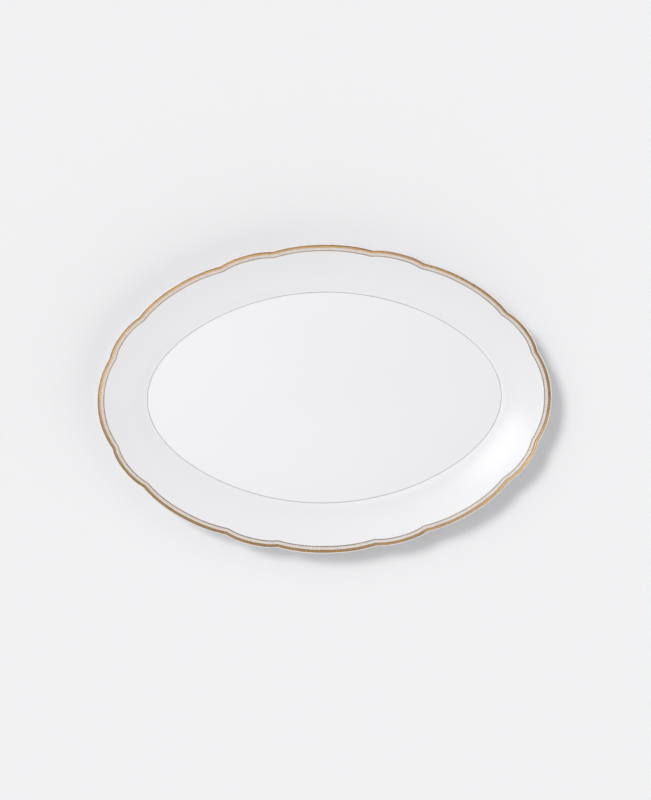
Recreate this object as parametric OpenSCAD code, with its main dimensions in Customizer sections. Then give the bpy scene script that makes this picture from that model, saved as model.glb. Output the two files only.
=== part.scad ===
// Oval porcelain serving platter with a scalloped, gilded edge.
// Millimetres. +X is the long way, +Y the short way, +Z up, and the table is z = 0.

/* [Platter] */
// Length over the lip, from end lobe to end lobe
platter_length = 380; // [330:1:410]
// Width over the lip, from side lobe to side lobe
platter_width = 260; // [226:1:280]
// Height from the table to the top of the lip
platter_height = 26; // [23:0.5:28]
// How far the oval's shoulders are drawn in from a true ellipse, as a share
shoulder_ease = 0.0105; // [0:0.0005:0.03]

/* [Scalloped edge] */
// How far the cusps between two lobes lie inside the oval
cusp_depth = 2; // [0.5:0.1:4]
// How full the lobes are, where 2 is a plain arc and more is a flatter middle
lobe_fullness = 2.5; // [2:0.1:4]
// Half of the lobe on each end, in degrees round the oval
end_lobe = 17.4; // [15:0.1:20]
// The short lobe beside each end lobe, in degrees
end_short_lobe = 16.9; // [13:0.1:18]
// The long lobe on each corner, in degrees
corner_lobe = 28.6; // [24:0.1:32]
// The short lobe beside each side lobe, in degrees
side_short_lobe = 14.2; // [12:0.1:16]

/* [Well and rim] */
// From the lobe crests in to the edge of the flat well
rim_width = 40.4; // [34:0.2:44]
// How far the well's shoulders are drawn in from a true ellipse, as a share
well_ease = 0.0225; // [0:0.0005:0.04]
// Slope of the rim where it meets the lip, in degrees
lip_slope = 31; // [30:1:44]

/* [Fired wall] */
// Thickness of the floor
floor_thickness = 4.8; // [4:0.1:6]
// Thickness of the rim at the rounded lip
lip_thickness = 2.2; // [2:0.1:4]

/* [Foot] */
// Height of the standing ring
foot_height = 4; // [3:0.1:5]
// Width of the standing ring
foot_width = 5; // [3:0.1:8]
// From the edge of the well in to the ring's outer wall
foot_inset = 8; // [4:0.5:20]

/* [Glaze and gold] */
// Thickness of the glaze coat
glaze_thickness = 0.2; // [0.1:0.05:0.4]
// Thickness of the fired gold
gold_thickness = 0.08; // [0.04:0.01:0.1]
// From the lip in to the inner edge of the solid gold
gold_width = 2.9; // [2.7:0.1:4]
// Where the solid gold stops on the rounded lip, in degrees above level
gold_end = 70; // [50:1:80]
// Width of the hatched band
hatching_width = 2.2; // [1:0.1:4]
// Width of the line inside the hatched band
rim_line_width = 0.7; // [0.3:0.1:1.5]
// Width of the hairline round the well
well_line_width = 0.45; // [0.3:0.05:1]

/* [Hidden] */

PORCELAIN = [0.93, 0.92, 0.90];
BISCUIT = [0.88, 0.86, 0.82];
GLAZE = [0.97, 0.97, 0.98];
GOLD = [0.76, 0.60, 0.36];
PALE_GOLD = [0.86, 0.78, 0.62];

nose_radius = lip_thickness / 2;
skin = glaze_thickness + gold_thickness;
border_width = gold_width + hatching_width + rim_line_width;
floor_top = foot_height + floor_thickness;

// Each lobe of one quarter is [middle, half width], in degrees round the oval.
corner_start = end_lobe + end_short_lobe;
corner_end = corner_start + corner_lobe;
side_start = corner_end + side_short_lobe;
LOBES = [[0, end_lobe],
         [end_lobe + end_short_lobe / 2, end_short_lobe / 2],
         [corner_start + corner_lobe / 2, corner_lobe / 2],
         [corner_end + side_short_lobe / 2, side_short_lobe / 2],
         [90, 90 - side_start]];

// The model has a rib on every cusp and every lobe middle, and evenly between.
CUSPS = [0, end_lobe, corner_start, corner_end, side_start, 90];
LOBE_STEPS = [3, 4, 6, 4, 3];
QUARTER = [for (lobe = [0:4], step = [0:LOBE_STEPS[lobe] - 1])
           CUSPS[lobe] + (CUSPS[lobe + 1] - CUSPS[lobe]) * step / LOBE_STEPS[lobe]];
HALF = concat(QUARTER, [90], [for (i = [len(QUARTER) - 1:-1:1]) 180 - QUARTER[i]]);
RIBS = concat(HALF, [for (rib = HALF) rib + 180]);
COUNT = len(RIBS);

// Where the plain rim gets a ring of facets, from the well (0) to the border (1).
RIM_PARTS = [0, 0.25, 0.5, 0.75];
// Directions round the lip's nose: under the gold, on to its outermost line, and
// from there to its end on the back.
GOLD_NOSE = [90 + lip_slope, 90, gold_end];
FACE_NOSE = concat(GOLD_NOSE, [gold_end / 2, 0]);
BACK_NOSE = [0, -30, lip_slope - 90];

// Plan: the well's edge, the oval that the lobes touch, and the way between them.
function oval(length, width, ease, rib) =
    (1 - ease * pow(sin(2 * rib), 2)) * [cos(rib) * length / 2, sin(rib) * width / 2];
function well_edge(rib) =
    oval(platter_length - 2 * rim_width, platter_width - 2 * rim_width, well_ease, rib);
function crest(rib) =
    oval(platter_length - 2 * glaze_thickness, platter_width - 2 * glaze_thickness,
         shoulder_ease, rib);
function rim_span(rib) = norm(crest(rib) - well_edge(rib));
function outward(rib) = (crest(rib) - well_edge(rib)) / rim_span(rib);

// Scallops: each lobe falls away from the oval as a power curve, to a cusp.
function folded(rib) = let (half = rib % 180) half > 90 ? 180 - half : half;
function lobe_at(turn) = [for (lobe = LOBES) if (abs(turn - lobe[0]) <= lobe[1] + 0.001) lobe][0];
function scallop(rib) = let (turn = folded(rib), lobe = lobe_at(turn))
    cusp_depth * pow(abs(turn - lobe[0]) / lobe[1], lobe_fullness);
function reach(rib) = rim_span(rib) - scallop(rib);

// Section: the rim rises as a power curve that leaves the well level and meets
// the lip at lip_slope. Distances run outwards from the edge of the well.
nose_set_back = nose_radius * (1 + sin(lip_slope));
lip_rise = platter_height - skin - nose_radius * (1 - cos(lip_slope)) - floor_top;
mean_run = (rim_span(0) + rim_span(90)) / 2 - nose_set_back;
rim_power = tan(lip_slope) * mean_run / lip_rise;
function rim_part(rib, out) = max(out, 0) / (rim_span(rib) - nose_set_back);
function face_height(rib, out) = floor_top + lip_rise * pow(rim_part(rib, out), rim_power);
function slope(rib, out) = atan(pow(rim_part(rib, out), rim_power - 1) * tan(lip_slope));
function wall(rib, out) =
    floor_thickness + (lip_thickness - floor_thickness) * rim_part(rib, out);

// A point of the model from its rib, its distance from the well and its height.
function place(rib, out, height) =
    let (spot = well_edge(rib) + out * outward(rib)) [spot[0], spot[1], height];
// Points on the face, the back and the nose. lift is the coat over the fired body.
function face_point(rib, out, lift) = let (tilt = slope(rib, out))
    place(rib, out - lift * sin(tilt), face_height(rib, out) + lift * cos(tilt));
function back_point(rib, out, lift) =
    let (tilt = slope(rib, out), drop = wall(rib, out) + lift)
    place(rib, out + drop * sin(tilt), face_height(rib, out) - drop * cos(tilt));
function nose_point(rib, direction, lift) =
    let (start = face_height(rib, reach(rib) - nose_set_back))
    place(rib,
          reach(rib) - nose_radius + (nose_radius + lift) * cos(direction),
          start - nose_radius * cos(lip_slope) + (nose_radius + lift) * sin(direction));

// Rings of points right round the platter.
function rim_rings(parts, lift) = [for (part = parts)
    [for (rib = RIBS) face_point(rib, part * (reach(rib) - border_width), lift)]];
function border_rings(insets, lift) = [for (inset = insets)
    [for (rib = RIBS) face_point(rib, reach(rib) - inset, lift)]];
function nose_rings(directions, lift) = [for (direction = directions)
    [for (rib = RIBS) nose_point(rib, direction, lift)]];
function back_rings(parts, lift) = [for (part = parts)
    [for (rib = RIBS) back_point(rib, part * (reach(rib) - nose_set_back), lift)]];
function foot_ring_edge(lift) = [[for (rib = RIBS) back_point(rib, -foot_inset, lift)]];
function reversed(rings) = [for (i = [len(rings) - 1:-1:0]) rings[i]];

BORDER = [border_width, gold_width + hatching_width, gold_width];
BACK_PARTS = [0.75, 0.5, 0.25, 0];
function face_rings(lift) =
    concat(rim_rings(RIM_PARTS, lift), border_rings(BORDER, lift), nose_rings(FACE_NOSE, lift));

// The two triangles between neighbouring ribs of two rings. The way back along
// the inner side of a coat is split along the same diagonal as the way out.
function facets(ring, next, rib, returning) =
    let (side = (rib + 1) % COUNT,
         a = ring * COUNT + rib, b = ring * COUNT + side,
         c = next * COUNT + side, d = next * COUNT + rib)
    returning ? [[a, b, d], [b, c, d]] : [[a, b, c], [a, c, d]];

// A solid between a first and a last level ring, each closed by a flat face.
module capped_solid(outside, inside = []) {
    rings = concat(outside, inside);
    last = len(rings) - 1;
    polyhedron(
        points = [for (ring = rings) each ring],
        faces = concat(
            [[for (i = [COUNT - 1:-1:0]) i]],
            [for (ring = [0:last - 1], rib = [0:COUNT - 1])
             each facets(ring, ring + 1, rib, ring >= len(outside))],
            [[for (i = [0:COUNT - 1]) last * COUNT + i]]),
        convexity = 4);
}

// A coat: its outside from first to last ring, then its inside all the way back.
module coat(outside, inside) {
    rings = concat(outside, reversed(inside));
    polyhedron(
        points = [for (ring = rings) each ring],
        faces = [for (ring = [0:len(rings) - 1], rib = [0:COUNT - 1])
                 each facets(ring, (ring + 1) % len(rings), rib, ring >= len(outside))],
        convexity = 4);
}

module oval_sheet(out) {
    polygon([for (rib = RIBS) well_edge(rib) + out * outward(rib)]);
}

module porcelain_body() {
    color(PORCELAIN)
        capped_solid(concat(face_rings(0), nose_rings([-30, lip_slope - 90], 0),
                            back_rings(BACK_PARTS, 0)));
}

module foot_ring() {
    color(BISCUIT)
        linear_extrude(foot_height)
            difference() {
                oval_sheet(-foot_inset);
                oval_sheet(-foot_inset - foot_width);
            }
}

module glaze_face() {
    color(GLAZE)
        capped_solid(face_rings(glaze_thickness), reversed(face_rings(0)));
}

module glaze_back() {
    color(GLAZE) {
        coat(concat(nose_rings(BACK_NOSE, glaze_thickness),
                    back_rings(BACK_PARTS, glaze_thickness), foot_ring_edge(glaze_thickness)),
             concat(nose_rings(BACK_NOSE, 0), back_rings(BACK_PARTS, 0), foot_ring_edge(0)));
        translate([0, 0, foot_height - glaze_thickness])
            linear_extrude(glaze_thickness)
                oval_sheet(-foot_inset - foot_width);
    }
}

module gold_strip(insets) {
    coat(border_rings(insets, skin), border_rings(insets, glaze_thickness));
}

module rim_gilding() {
    color(GOLD)
        coat(concat(border_rings([gold_width], skin), nose_rings(GOLD_NOSE, skin)),
             concat(border_rings([gold_width], glaze_thickness),
                    nose_rings(GOLD_NOSE, glaze_thickness)));
}

module gilt_hatching() {
    color(PALE_GOLD)
        gold_strip([gold_width + hatching_width, gold_width]);
}

module rim_line() {
    color(GOLD)
        gold_strip([border_width, gold_width + hatching_width]);
}

module well_line() {
    color(GOLD)
        translate([0, 0, floor_top + glaze_thickness])
            linear_extrude(gold_thickness)
                difference() {
                    oval_sheet(0);
                    oval_sheet(-well_line_width);
                }
}

porcelain_body();
foot_ring();
glaze_face();
glaze_back();
rim_gilding();
gilt_hatching();
rim_line();
well_line();
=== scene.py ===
import math
import random

import bmesh
import bpy
from mathutils import Matrix, Vector


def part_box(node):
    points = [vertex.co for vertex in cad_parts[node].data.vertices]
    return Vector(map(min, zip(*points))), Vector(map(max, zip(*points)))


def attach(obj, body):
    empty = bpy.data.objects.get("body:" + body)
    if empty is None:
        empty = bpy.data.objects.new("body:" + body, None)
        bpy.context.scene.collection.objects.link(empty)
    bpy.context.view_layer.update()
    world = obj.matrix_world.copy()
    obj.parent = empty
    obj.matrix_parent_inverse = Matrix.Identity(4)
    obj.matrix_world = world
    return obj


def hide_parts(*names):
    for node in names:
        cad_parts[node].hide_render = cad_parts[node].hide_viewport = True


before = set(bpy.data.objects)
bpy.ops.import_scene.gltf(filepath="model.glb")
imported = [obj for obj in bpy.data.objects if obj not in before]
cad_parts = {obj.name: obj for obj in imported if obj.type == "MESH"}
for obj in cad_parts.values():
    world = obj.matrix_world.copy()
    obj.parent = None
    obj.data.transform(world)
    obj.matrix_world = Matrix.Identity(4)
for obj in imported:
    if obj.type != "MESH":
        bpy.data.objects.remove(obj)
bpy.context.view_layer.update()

# ---------------------------------------------------------------------------
# Camera. It stands over the platter, a little towards its far long side, and is
# turned slightly, so that the platter lies a touch askew in the frame.
CAMERA_HEIGHT = 1.5
CAMERA_LEAN = 0.10  # run per rise, towards +Y
CAMERA_TURN = math.radians(0.85)
CAMERA_LENS = 79.9
CAMERA_AIM = Vector((0.0010, -0.0025, 0))

lens = bpy.data.cameras.new("camera")
lens.lens = CAMERA_LENS
camera = bpy.data.objects.new("camera", lens)
camera.location = CAMERA_AIM + Vector((0, CAMERA_LEAN * CAMERA_HEIGHT, CAMERA_HEIGHT))
backward = (camera.location - CAMERA_AIM).normalized()
rightward = Vector((0, 1, 0)).cross(backward).normalized()
looking = Matrix((rightward, backward.cross(rightward), backward)).transposed()
camera.rotation_euler = (looking @ Matrix.Rotation(-CAMERA_TURN, 3, "Z")).to_euler()
bpy.context.scene.collection.objects.link(camera)
bpy.context.scene.camera = camera


# ---------------------------------------------------------------------------
# Fired body. One pressed piece of white porcelain: a flat oval well, a rim that
# rises in a smooth curve, and a rounded lip shaped into sixteen lobes, long and
# short by turns. Glaze covers all of it but the seat of the standing ring.
MM = 0.001
WELL_EASE = 0.0225  # how far the well's shoulders lie inside a true ellipse, as a share
LIP_EASE = 0.0105  # the same for the oval that the lobes touch
LOBE_ENDS = [-17.4, 17.4, 34.3, 62.9, 77.1, 102.9]  # degrees round the oval
LOBES = [((start + end) / 2, (end - start) / 2) for start, end in zip(LOBE_ENDS, LOBE_ENDS[1:])]
LOBE_FULLNESS = 2.5  # 2 is a plain arc, and more is a flatter middle
CUSP_DEPTH = 2 * MM
CUSP_SOFTNESS = 0.05 * MM
RIBS_PER_HALF_LOBE = 14
CUSP_CROWDING = 1.5  # 1 spaces the ribs evenly, and more draws them towards the cusps
LIP_SLOPE = math.radians(31)
NOSE = 1.1 * MM  # radius of the rounded lip
NOSE_SET_BACK = NOSE * (1 + math.sin(LIP_SLOPE))
FLOOR_WALL = 4.8 * MM
BORDER = 5.8 * MM  # the gilded border, measured in from the lip

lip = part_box("porcelain_body")[1]
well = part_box("well_line")[1]
floor_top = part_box("glaze_face")[0].z
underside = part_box("porcelain_body")[0].z
rim_rise = lip.z - NOSE * (1 - math.cos(LIP_SLOPE)) - floor_top
rim_run = (lip.x - well.x + lip.y - well.y) / 2 - NOSE_SET_BACK
rim_power = math.tan(LIP_SLOPE) * rim_run / rim_rise


def oval(corner, ease, turn):
    """A point of an oval whose shoulders are drawn in a little from an ellipse."""
    drawn_in = 1 - ease * math.sin(2 * turn) ** 2
    return Vector((corner.x * math.cos(turn), corner.y * math.sin(turn), 0)) * drawn_in


def scallop(turn):
    """How far the lip lies inside its oval. Neighbouring lobes meet in a soft cusp."""
    quarter = abs((math.degrees(turn) + 90) % 180 - 90)
    depths = [CUSP_DEPTH * (abs(quarter - middle) / half) ** LOBE_FULLNESS
              for middle, half in LOBES]
    least = min(depths)
    crowding = sum(math.exp((least - depth) / CUSP_SOFTNESS) for depth in depths)
    return least - CUSP_SOFTNESS * math.log(crowding)


class Rib:
    """An upright cut through the platter. Its distances run out from the well's edge."""

    def __init__(self, turn):
        self.foot = oval(well, WELL_EASE, turn)
        way = oval(lip, LIP_EASE, turn) - self.foot
        self.outward = way.normalized()
        self.run = way.length - NOSE_SET_BACK
        self.reach = way.length - scallop(turn)

    def place(self, out, height):
        return self.foot + self.outward * out + Vector((0, 0, height))

    def height(self, out):
        return floor_top + rim_rise * (max(out, 0) / self.run) ** rim_power

    def slope(self, out):
        return math.atan((max(out, 0) / self.run) ** (rim_power - 1) * math.tan(LIP_SLOPE))

    def on_floor(self, share, height):
        return self.foot * share + Vector((0, 0, height))

    def on_face(self, out, lift):
        tilt = self.slope(out)
        return self.place(out - lift * math.sin(tilt), self.height(out) + lift * math.cos(tilt))

    def on_nose(self, direction, lift):
        middle = self.height(self.reach - NOSE_SET_BACK) - NOSE * math.cos(LIP_SLOPE)
        return self.place(self.reach - NOSE + (NOSE + lift) * math.cos(direction),
                          middle + (NOSE + lift) * math.sin(direction))

    def on_back(self, out, lift):
        tilt = self.slope(out)
        wall = FLOOR_WALL + (2 * NOSE - FLOOR_WALL) * max(out, 0) / self.run + lift
        return self.place(out + wall * math.sin(tilt), self.height(out) - wall * math.cos(tilt))


def rib_turns():
    """Where the ribs stand: close together at a cusp, and wider apart along a lobe."""
    shares = [(step / RIBS_PER_HALF_LOBE) ** CUSP_CROWDING for step in range(RIBS_PER_HALF_LOBE)]
    quarter = {middle for middle, half in LOBES}
    for index, cusp in enumerate(LOBE_ENDS[1:-1]):
        for middle, half in LOBES[index:index + 2]:
            quarter.update(cusp + (middle - cusp) * share for share in shares)
    half_round = sorted(quarter | {180 - turn for turn in quarter})[:-1]
    return [math.radians(turn) for turn in half_round + [turn + 180 for turn in half_round]]


RIBS = [Rib(turn) for turn in rib_turns()]
FLOOR_SHARES = [0.05, 0.2, 0.4, 0.6, 0.8, 0.93, 0.98]  # of the way to the well's edge
BORDER_INSETS = [5.1 * MM, 4.4 * MM, 3.65 * MM, 2.9 * MM]
# Directions round the nose, in degrees: over the top of the lip, and on under it.
FACE_ARC = [math.degrees(LIP_SLOPE) + 90, 108, 95, 82, 69, 56, 43, 30, 16, 0]
BACK_ARC = [0, -16, -32, -46, math.degrees(LIP_SLOPE) - 90]


def on_floor(height):
    return [lambda rib, share=share: rib.on_floor(share, height) for share in FLOOR_SHARES]


def up_the_rim(lift, steps=22):
    return [lambda rib, part=step / steps: rib.on_face(part * (rib.reach - BORDER), lift)
            for step in range(steps + 1)]


def on_border(insets, lift):
    return [lambda rib, inset=inset: rib.on_face(rib.reach - inset, lift) for inset in insets]


def round_nose(arc, lift):
    return [lambda rib, angle=angle: rib.on_nose(math.radians(angle), lift) for angle in arc]


def down_the_back(lift, steps=18):
    return [lambda rib, part=step / steps: rib.on_back(part * (rib.reach - NOSE_SET_BACK), lift)
            for step in range(steps - 1, -1, -1)]


def face_section(lift):
    """The section of the face, from near the middle of the well out to the lip."""
    return (on_floor(floor_top + lift) + up_the_rim(lift) + on_border(BORDER_INSETS, lift)
            + round_nose(FACE_ARC, lift))


def drawn_on(clay, ring, place):
    """Extrudes a ring of edges, moves each new point to its place, and gives the new ring."""
    grown = bmesh.ops.extrude_edge_only(clay, edges=ring)["geom"]
    for part in grown:
        if isinstance(part, bmesh.types.BMVert):
            part.co = place(part)
    return [part for part in grown if isinstance(part, bmesh.types.BMEdge)]


def thrown(name, section, capped=False):
    """A piece drawn right round the platter, with a ring of points for each stop of its section.

    A capped piece gets a level face on its first and its last ring. In any other piece the
    section is closed, so the last ring is joined to the first.
    """
    clay = bmesh.new()
    rib_of = clay.verts.layers.int.new("rib")
    circle = bmesh.ops.create_circle(clay, radius=1, segments=len(RIBS))["verts"]
    for index, vert in enumerate(circle):
        vert[rib_of] = index
        vert.co = section[0](RIBS[index])
    first = clay.edges[:]
    last = first
    for stop in section[1:]:
        last = drawn_on(clay, last, lambda vert: stop(RIBS[vert[rib_of]]))
    if capped:
        bmesh.ops.edgeloop_fill(clay, edges=first)
        bmesh.ops.edgeloop_fill(clay, edges=last)
    else:
        bmesh.ops.bridge_loops(clay, edges=first + last)
    clay.verts.layers.int.remove(rib_of)
    return finished(name, clay)


def finished(name, clay):
    """The object of a modelled shape, smooth, with all its faces turned outwards."""
    bmesh.ops.recalc_face_normals(clay, faces=clay.faces)
    for face in clay.faces:
        face.smooth = True
    mesh = bpy.data.meshes.new(name)
    clay.to_mesh(mesh)
    clay.free()
    piece = bpy.data.objects.new(name, mesh)
    bpy.context.scene.collection.objects.link(piece)
    return piece


class Value:
    """The output of a shader node. Plain arithmetic on it adds Math nodes."""

    def __init__(self, shader, output):
        self.shader = shader
        self.output = output

    def maths(self, operation, first, second):
        return self.shader.node("ShaderNodeMath", {"operation": operation}, {0: first, 1: second})

    def __add__(self, other):
        return self.maths("ADD", self, other)

    def __sub__(self, other):
        return self.maths("SUBTRACT", self, other)

    def __rsub__(self, other):
        return self.maths("SUBTRACT", other, self)

    def __mul__(self, other):
        return self.maths("MULTIPLY", self, other)

    __radd__ = __add__
    __rmul__ = __mul__


class Shader:
    """The nodes of a material or of the world."""

    def __init__(self, owner):
        self.owner = owner
        owner.use_nodes = True
        self.tree = owner.node_tree
        self.tree.nodes.clear()

    def node(self, kind, settings, sockets, output=0):
        """Any node, with its settings and with the values or links of its sockets."""
        made = self.tree.nodes.new(kind)
        for name, value in settings.items():
            setattr(made, name, value)
        for name, value in sockets.items():
            if isinstance(value, Value):
                self.tree.links.new(value.output, made.inputs[name])
            else:
                made.inputs[name].default_value = value
        return Value(self, made.outputs[output]) if made.outputs else None

    def place(self):
        """Where on the platter a point lies, in metres."""
        return self.node("ShaderNodeTexCoord", {}, {}, "Object")

    def noise(self, scale, detail=2.0):
        return self.node("ShaderNodeTexNoise", {},
                         {"Vector": self.place(), "Scale": scale, "Detail": detail})

    def ramp(self, value, low, high):
        """0 below low, 1 above high, and a smooth rise between them."""
        return self.node("ShaderNodeMapRange", {"interpolation_type": "SMOOTHSTEP"},
                         {"Value": value, "From Min": low, "From Max": high})

    def blend(self, share, first, second):
        return self.node("ShaderNodeMix", {"data_type": "RGBA"},
                         {"Factor": share, 6: first, 7: second}, 2)

    def bump(self, height, depth):
        return self.node("ShaderNodeBump", {}, {"Height": height, "Distance": depth})

    def surface(self, sockets):
        """The finished material: a Principled surface with these sockets."""
        skin = self.node("ShaderNodeBsdfPrincipled", {}, sockets)
        self.node("ShaderNodeOutputMaterial", {}, {"Surface": skin})
        return self.owner


def biscuit_porcelain():
    """Fired, unglazed porcelain: warm white and dry, with a very fine grain."""
    shader = Shader(bpy.data.materials.new("biscuit_porcelain"))
    grain = shader.noise(900, detail=4)
    return shader.surface({
        "Base Color": shader.blend(grain, (0.72, 0.69, 0.64, 1), (0.84, 0.82, 0.78, 1)),
        "Roughness": 0.6 + 0.2 * grain,
        "Normal": shader.bump(grain, 0.03 * MM)})


body = thrown("fired_body", face_section(0) + round_nose(BACK_ARC[1:], 0) + down_the_back(0),
              capped=True)
body.data.materials.append(biscuit_porcelain())
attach(body, "root")
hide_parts("porcelain_body")


# ---------------------------------------------------------------------------
# Standing ring. A low oval ring of the same clay under the well, with a small
# fillet at its root on either side. Its walls are glazed, and its edge is wiped
# and ground bare, so that it doesn't stick in the kiln and stands without rocking.
RING_INSET = 8 * MM
RING_WIDTH = 5 * MM
ROOT_FILLET = 0.9 * MM
EDGE_ROUNDING = 0.8 * MM
BARE_HEIGHT = 0.35 * MM

coat_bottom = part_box("glaze_back")[0].z


def quarter_turn(inset, height, radius, start, end):
    """Stops of a section along an arc about a centre, from one direction to another."""
    angles = [math.radians(start + (end - start) * step / 4) for step in range(5)]
    return [lambda rib, angle=angle: rib.place(radius * math.cos(angle) - inset,
                                               radius * math.sin(angle) + height)
            for angle in angles]


def upright(inset, heights):
    return [lambda rib, height=height: rib.place(-inset, height) for height in heights]


def ring_finish():
    """Glazed walls that give way to bare, ground clay along the edge."""
    shader = Shader(bpy.data.materials.new("ground_ring"))
    height = shader.node("ShaderNodeSeparateXYZ", {}, {"Vector": shader.place()}, "Z")
    grain = shader.noise(700, detail=4)
    wander = (shader.noise(60) - 0.5) * (0.5 * MM)
    glazed = shader.ramp(height + wander, BARE_HEIGHT, 1.6 * BARE_HEIGHT)
    clay = shader.blend(grain, (0.66, 0.61, 0.53, 1), (0.80, 0.76, 0.69, 1))
    return shader.surface({
        "Base Color": shader.blend(glazed, clay, (0.77, 0.77, 0.785, 1)),
        "Roughness": 0.75 - 0.55 * glazed,
        "Coat Weight": glazed,
        "Coat Roughness": 0.04,
        "Normal": shader.bump(grain * (1 - glazed), 0.05 * MM)})


ring_inside = RING_INSET + RING_WIDTH
ring = thrown("standing_ring", (
    quarter_turn(RING_INSET - ROOT_FILLET, coat_bottom - ROOT_FILLET, ROOT_FILLET, 90, 180)
    + quarter_turn(RING_INSET + EDGE_ROUNDING, EDGE_ROUNDING, EDGE_ROUNDING, 0, -90)
    + quarter_turn(ring_inside - EDGE_ROUNDING, EDGE_ROUNDING, EDGE_ROUNDING, -90, -180)
    + quarter_turn(ring_inside + ROOT_FILLET, coat_bottom - ROOT_FILLET, ROOT_FILLET, 0, 90)
    + upright(ring_inside, [coat_bottom, underside]) + upright(RING_INSET, [underside, coat_bottom])))
ring.data.materials.append(ring_finish())
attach(ring, "root")
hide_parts("foot_ring")


# ---------------------------------------------------------------------------
# Glaze. Clear, glossy and a fifth of a millimetre thick, fired on to the white
# body, so that the two look like one cool white surface. The face coat covers
# the well, the rim and the lip, and the back coat the underside round the ring.
GLAZE = 0.2 * MM


def glaze():
    """Glossy white with the faint waves and the fine ripple of a fired coat."""
    shader = Shader(bpy.data.materials.new("glaze"))
    cloud = shader.noise(9)
    waves = shader.noise(22, detail=1)
    ripple = shader.noise(260, detail=3)
    return shader.surface({
        "Base Color": shader.blend(cloud, (0.760, 0.760, 0.778, 1), (0.785, 0.783, 0.795, 1)),
        "Roughness": 0.20 + 0.08 * ripple,
        "Specular IOR Level": 0.0,
        "Coat Weight": 1.0,
        "Coat Roughness": 0.11,
        "Normal": shader.bump(waves + ripple * 0.02, 0.06 * MM)})


glaze_finish = glaze()
face_coat = thrown("face_glaze", face_section(GLAZE) + face_section(0)[::-1], capped=True)
back_coat = thrown("back_glaze", (
    round_nose(BACK_ARC, GLAZE) + down_the_back(GLAZE) + upright(RING_INSET, [coat_bottom, underside])
    + (round_nose(BACK_ARC, 0) + down_the_back(0))[::-1]))
floor_coat = thrown("underside_glaze", upright(ring_inside, [coat_bottom, underside]), capped=True)
for coat, node in (face_coat, "glaze_face"), (back_coat, "glaze_back"), (floor_coat, "glaze_back"):
    coat.data.materials.append(glaze_finish)
    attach(coat, "root")
    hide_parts(node)


# ---------------------------------------------------------------------------
# Lip gilding. Solid fired gold, brushed on over the glaze from a few millimetres
# inside the lip to just past its top, so that the outermost edge stays white.
GOLD = 0.08 * MM
SKIN = GLAZE + GOLD
GOLD_WIDTH = 2.9 * MM
FEATHER = 0.12 * MM  # over which the film comes up to its full thickness
GOLD_ARC = [math.degrees(LIP_SLOPE) + 90, 111, 101, 91, 81, 75]
GOLD_END = 70


def gold(name, bright, thin, roughness):
    """Fired gold with brush marks: lighter and duller where it is thin."""
    shader = Shader(bpy.data.materials.new(name))
    patches = shader.ramp(shader.noise(140, detail=4), 0.35, 0.7)
    grain = shader.noise(1500)
    return shader.surface({
        "Base Color": shader.blend(patches, bright, thin),
        "Metallic": 1.0 - 0.12 * patches,
        "Roughness": roughness + 0.14 * patches + 0.06 * grain,
        "Normal": shader.bump(grain + patches, 0.004 * MM)})


gilding = thrown("lip_gilding", (
    on_border([GOLD_WIDTH], GLAZE) + on_border([GOLD_WIDTH - FEATHER], SKIN)
    + round_nose(GOLD_ARC, SKIN) + round_nose([GOLD_END], GLAZE) + round_nose(GOLD_ARC, GLAZE)[::-1]))
gilding.data.materials.append(
    gold("burnished_gold", (0.60, 0.365, 0.165, 1), (0.54, 0.345, 0.175, 1), 0.20))
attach(gilding, "root")
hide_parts("rim_gilding")


# ---------------------------------------------------------------------------
# Gilt strokes. Inside the solid gold runs a band of fine short strokes, square to
# the lip, with white glaze between them. Each is a low bar of gold with soft sides.
STROKE_COUNT = 752
STROKE_WIDTH = 0.42 * MM
WIDTH_WANDER = 0.1  # how much a stroke may be wider or narrower, as a share
BAND_START = 5.1 * MM
START_WANDER = 0.05 * MM
STROKE_SECTION = [(-0.5, 0), (-0.3, 0.9), (0.3, 0.9), (0.5, 0)]  # shares of width and thickness


def even_turns(count, fineness=7200):
    """Turns that stand the same distance apart along the lip."""
    turns = [2 * math.pi * step / fineness for step in range(fineness + 1)]
    spots = [oval(lip, LIP_EASE, turn) for turn in turns]
    travelled = [0.0]
    for before, after in zip(spots, spots[1:]):
        travelled.append(travelled[-1] + (after - before).length)
    even = []
    step = 0
    for index in range(count):
        wanted = travelled[-1] * index / count
        while travelled[step + 1] < wanted:
            step += 1
        share = (wanted - travelled[step]) / (travelled[step + 1] - travelled[step])
        even.append(turns[step] + share * (turns[step + 1] - turns[step]))
    return even


def lay_stroke(leaf, corner_of, rib):
    """One bar of gold on the glaze, from the border line out to the solid gold."""
    width = STROKE_WIDTH * random.uniform(1 - WIDTH_WANDER, 1 + WIDTH_WANDER)
    start_inset = BAND_START + random.uniform(-START_WANDER, START_WANDER)
    sideways = Vector((0, 0, 1)).cross(rib.outward) * width

    def corner(vert, inset):
        across, up = STROKE_SECTION[vert[corner_of]]
        return rib.on_face(rib.reach - inset, GLAZE + up * GOLD) + sideways * across

    end = bmesh.ops.create_circle(leaf, cap_ends=True, radius=1, segments=len(STROKE_SECTION))
    for index, vert in enumerate(end["verts"]):
        vert[corner_of] = index
        vert.co = corner(vert, start_inset)
    sides = end["verts"][0].link_faces[0].edges[:]
    tip = drawn_on(leaf, sides, lambda vert: corner(vert, GOLD_WIDTH))
    bmesh.ops.edgeloop_fill(leaf, edges=tip)


random.seed(4)
gold_leaf = bmesh.new()
corner_layer = gold_leaf.verts.layers.int.new("corner")
for turn in even_turns(STROKE_COUNT):
    lay_stroke(gold_leaf, corner_layer, Rib(turn))
gold_leaf.verts.layers.int.remove(corner_layer)
strokes = finished("gilt_strokes", gold_leaf)
strokes.data.materials.append(
    gold("stroke_gold", (0.62, 0.41, 0.20, 1), (0.70, 0.51, 0.29, 1), 0.32))
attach(strokes, "root")
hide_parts("gilt_hatching")


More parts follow.
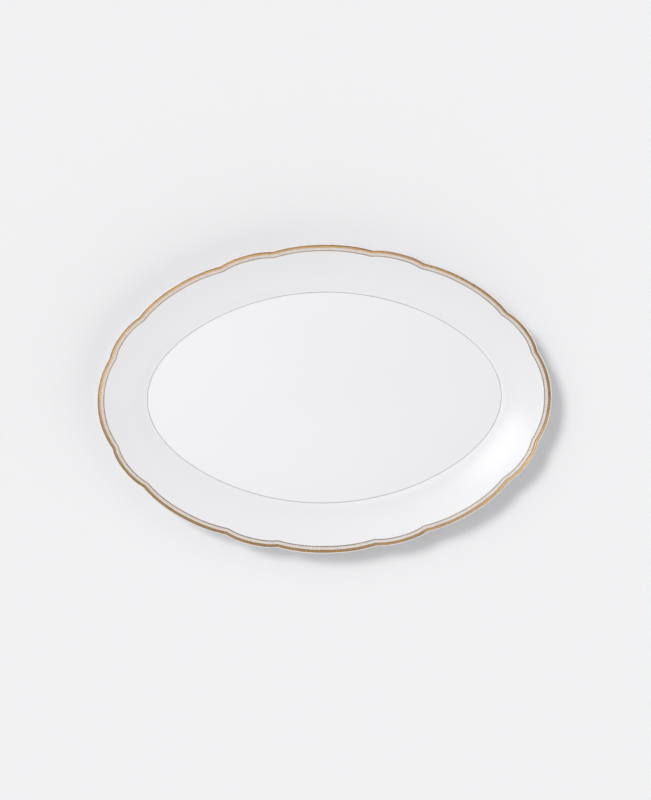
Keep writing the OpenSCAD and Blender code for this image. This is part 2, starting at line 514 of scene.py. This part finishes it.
# ---------------------------------------------------------------------------
# Gold lines. One thin line closes the band of strokes on its inner side, and a
# hairline runs round the well. Both are painted on the turning platter.
WELL_LINE = 0.45 * MM

rim_line = thrown("border_line", (
    on_border([BORDER], GLAZE) + on_border([BORDER - FEATHER, BAND_START + FEATHER], SKIN)
    + on_border([BAND_START], GLAZE)))
rim_line.data.materials.append(
    gold("line_gold", (0.38, 0.26, 0.14, 1), (0.50, 0.36, 0.21, 1), 0.34))
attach(rim_line, "root")
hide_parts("rim_line")

line_foot = floor_top + GLAZE
well_line = thrown("well_hairline", (
    upright(0, [line_foot]) + upright(FEATHER, [line_foot + GOLD])
    + upright(WELL_LINE - FEATHER, [line_foot + GOLD]) + upright(WELL_LINE, [line_foot])))
well_line.data.materials.append(
    gold("hairline_gold", (0.44, 0.41, 0.36, 1), (0.56, 0.53, 0.48, 1), 0.42))
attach(well_line, "root")
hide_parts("well_line")


# ---------------------------------------------------------------------------
# Studio. A plain pale table top, and a softbox high behind the platter's left end. The
# glaze and the gold mirror a white screen beside it, the lit ceiling over the left half
# and a pale room, which is brighter to the right and dark in its far right corner.
TABLE_RADIUS = 6.0
SOFTBOX_SPREAD = math.radians(15)  # how wide it looks from the platter
SOFTBOX_LIGHT = 1.37
SCREEN_LIGHT = 2.2
SCREEN_FOOT_LIGHT = 0.75  # where the screen comes down towards the table
CEILING_LIGHT = 1.7
CORNER_DARKNESS = 0.42


def towards(turn, rise):
    """A direction, by its turn from +X towards +Y and its rise over the table, in degrees."""
    unturned = Vector((math.cos(math.radians(rise)), 0, math.sin(math.radians(rise))))
    return Matrix.Rotation(math.radians(turn), 3, "Z") @ unturned


top = bmesh.new()
bmesh.ops.create_circle(top, cap_ends=True, radius=TABLE_RADIUS, segments=96)
table = finished("table_top", top)
table_shader = Shader(bpy.data.materials.new("table_top"))
table.data.materials.append(table_shader.surface({
    "Base Color": (0.785, 0.785, 0.793, 1),
    "Roughness": 0.9 + 0.05 * table_shader.noise(40),
    "Specular IOR Level": 0.1}))

lamp = bpy.data.lights.new("softbox", "SUN")
lamp.angle = SOFTBOX_SPREAD
lamp.energy = SOFTBOX_LIGHT
softbox = bpy.data.objects.new("softbox", lamp)
softbox.rotation_euler = towards(turn=135, rise=51.5).to_track_quat("Z", "Y").to_euler()
softbox.visible_glossy = False  # the glaze and the gold mirror the screen in its place
bpy.context.scene.collection.objects.link(softbox)

room = Shader(bpy.data.worlds.new("room"))
direction = room.node("ShaderNodeTexCoord", {}, {}, "Generated")
across = room.node("ShaderNodeSeparateXYZ", {}, {"Vector": direction}, "X")
along = room.node("ShaderNodeSeparateXYZ", {}, {"Vector": direction}, "Y")
upward = room.node("ShaderNodeSeparateXYZ", {}, {"Vector": direction}, "Z")


def wall(middle, to_the_right, to_the_far_side):
    """The light of a wall that is brighter or darker towards two of its sides."""
    return middle + to_the_right * across + to_the_far_side * along


high_up = room.ramp(upward, 0.35, 0.55)
overhead = room.ramp(upward, 0.75, 0.9)
walls = (wall(middle=0.84, to_the_right=0.4, to_the_far_side=-0.4) * (1 - high_up)
         + wall(middle=1.02, to_the_right=0.7, to_the_far_side=0.18) * high_up) * (1 - overhead)


def round_about(middle, edge, core):
    """1 within core degrees of a direction, 0 beyond edge degrees, and soft between them."""
    nearness = room.node("ShaderNodeVectorMath", {"operation": "DOT_PRODUCT"},
                         {0: direction, 1: middle}, "Value")
    return room.ramp(nearness, math.cos(math.radians(edge)), math.cos(math.radians(core)))


screen = (SCREEN_LIGHT * round_about(towards(turn=150, rise=55), edge=18, core=3)
          + SCREEN_FOOT_LIGHT * round_about(towards(turn=145, rise=38), edge=28, core=10))
corner = CORNER_DARKNESS * round_about(towards(turn=47, rise=37.5), edge=52, core=25)
over_left = room.ramp(upward, 0.93, 0.98) * room.ramp(-1 * across, -0.15, 0.15)
light = room.node("ShaderNodeBackground", {}, {
    "Color": (1.0, 1.0, 1.005, 1),
    "Strength": walls * (1 - corner) + CEILING_LIGHT * over_left + screen})
room.node("ShaderNodeOutputWorld", {}, {"Surface": light})
bpy.context.scene.world = room.owner
bpy.context.scene.view_settings.view_transform = "Standard"
